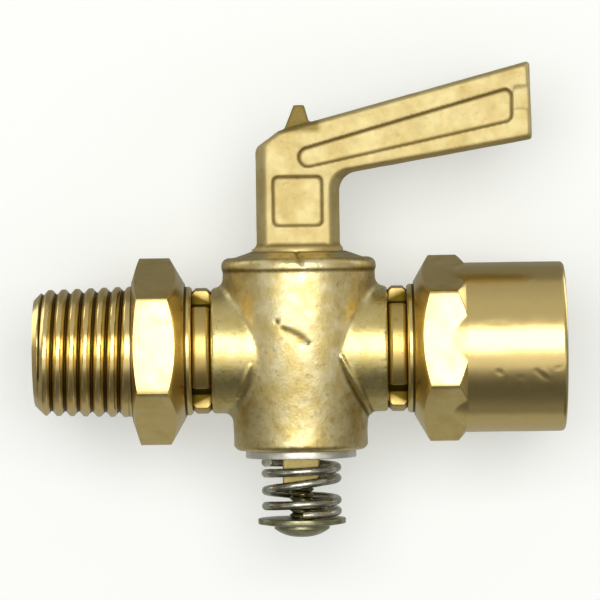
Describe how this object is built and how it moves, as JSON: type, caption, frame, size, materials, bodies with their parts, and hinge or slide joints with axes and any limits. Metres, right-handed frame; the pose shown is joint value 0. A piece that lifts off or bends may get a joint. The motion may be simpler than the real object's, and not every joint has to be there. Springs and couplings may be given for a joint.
{
  "type": "lever petcock",
  "caption": "Brass ground-key petcock with a one-piece lever, a sprung tapered plug, a male pipe thread at one end and a female pipe socket at the other.",
  "frame": {"origin": "on the pipe axis, at the shoulder where the male thread leaves its hexagon", "axes": "+X along the pipe axis from the male thread to the female socket; +Z along the plug axis towards the lever; the lever lies along +X in the open position"},
  "size_m": [0.0555, 0.0182, 0.0496],
  "materials": {
    "forged_brass": "forged and shot blasted",
    "turned_brass": "turned",
    "plated_steel": "zinc plated",
    "spring_steel": "drawn wire"
  },
  "bodies": {
    "valve": {"valve_body": "forged_brass", "male_nipple": "turned_brass", "female_coupling": "turned_brass", "left_lock_ring": "turned_brass", "right_lock_ring": "turned_brass"},
    "washer": {"keyed_washer": "plated_steel", "spring": "spring_steel"},
    "plug": {"plug_lever": "forged_brass", "spring_seat": "plated_steel", "tail_screw": "plated_steel"}
  },
  "joints": [
    {"name": "lever_turn", "type": "hinge", "parent": "valve", "child": "washer", "pos_m": [0.0175, 0, 0], "axis": [0, 0, 1], "range_deg": [-90, 0]},
    {"name": "plug_lift", "type": "slide", "parent": "washer", "child": "plug", "axis": [0, 0, 1], "range_m": [0, 0.0015], "stiffness_N_per_m": 4000, "springref_m": -0.002, "deforming": ["spring"]}
  ]
}
